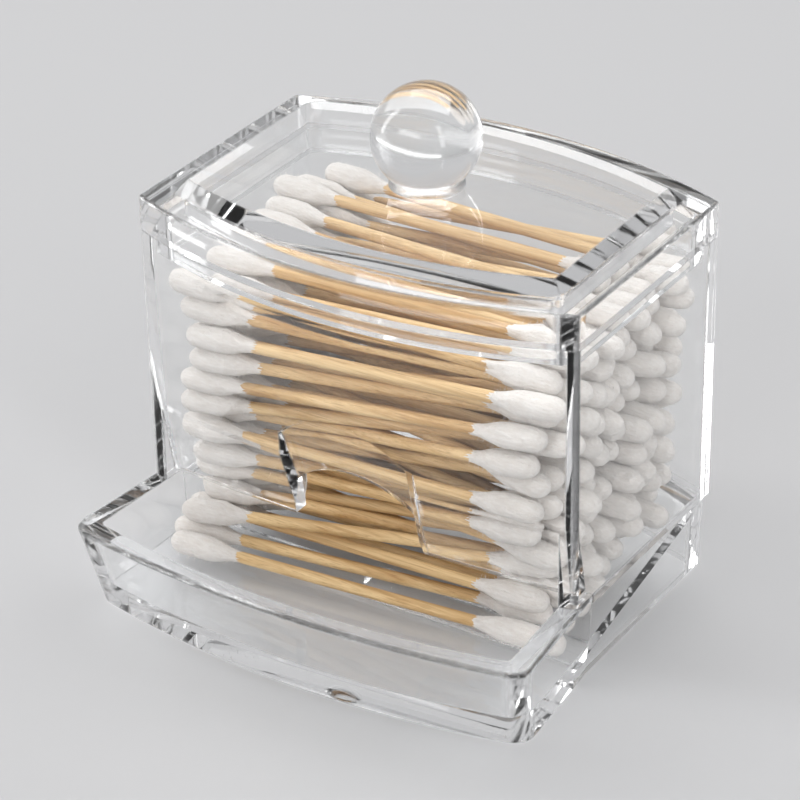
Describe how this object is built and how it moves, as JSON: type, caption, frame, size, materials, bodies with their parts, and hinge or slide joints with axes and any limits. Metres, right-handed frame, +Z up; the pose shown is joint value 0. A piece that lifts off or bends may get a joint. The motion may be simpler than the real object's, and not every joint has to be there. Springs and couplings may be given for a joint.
{
  "type": "cotton swab holder",
  "caption": "Clear acrylic dispenser for cotton swabs: bowed case on a flared tray, ramped floor, finger scoop, and a lift-off lid with a ball knob, filled with wooden swabs.",
  "frame": {"origin": "middle of the whole product's outline, on its underside", "axes": "+Z up, the tray and the finger scoop face -Y, +X to the right seen from the front"},
  "size_m": [0.0926, 0.0846, 0.0945],
  "materials": {
    "acrylic": "clear polished acrylic",
    "acrylic_knob": "clear solid acrylic ball",
    "birch_stick": "pale smooth birch",
    "cotton": "wound cotton, slightly fuzzy"
  },
  "bodies": {
    "holder": {"tray_base": "acrylic", "dispenser_case": "acrylic", "row_01_buds": "cotton", "row_01_sticks": "birch_stick", "row_02_buds": "cotton", "row_02_sticks": "birch_stick", "row_03_buds": "cotton", "row_03_sticks": "birch_stick", "row_04_buds": "cotton", "row_04_sticks": "birch_stick", "row_05_buds": "cotton", "row_05_sticks": "birch_stick", "row_06_buds": "cotton", "row_06_sticks": "birch_stick", "row_07_buds": "cotton", "row_07_sticks": "birch_stick", "row_08_buds": "cotton", "row_08_sticks": "birch_stick", "row_09_buds": "cotton", "row_09_sticks": "birch_stick", "row_10_buds": "cotton", "row_10_sticks": "birch_stick", "row_11_buds": "cotton", "row_11_sticks": "birch_stick"},
    "lid": {"lid": "acrylic", "lid_knob": "acrylic_knob"}
  },
  "joints": [
    {"name": "lid_lift", "type": "slide", "parent": "holder", "child": "lid", "axis": [0, 0, 1], "range_m": [0, 0.04]}
  ]
}
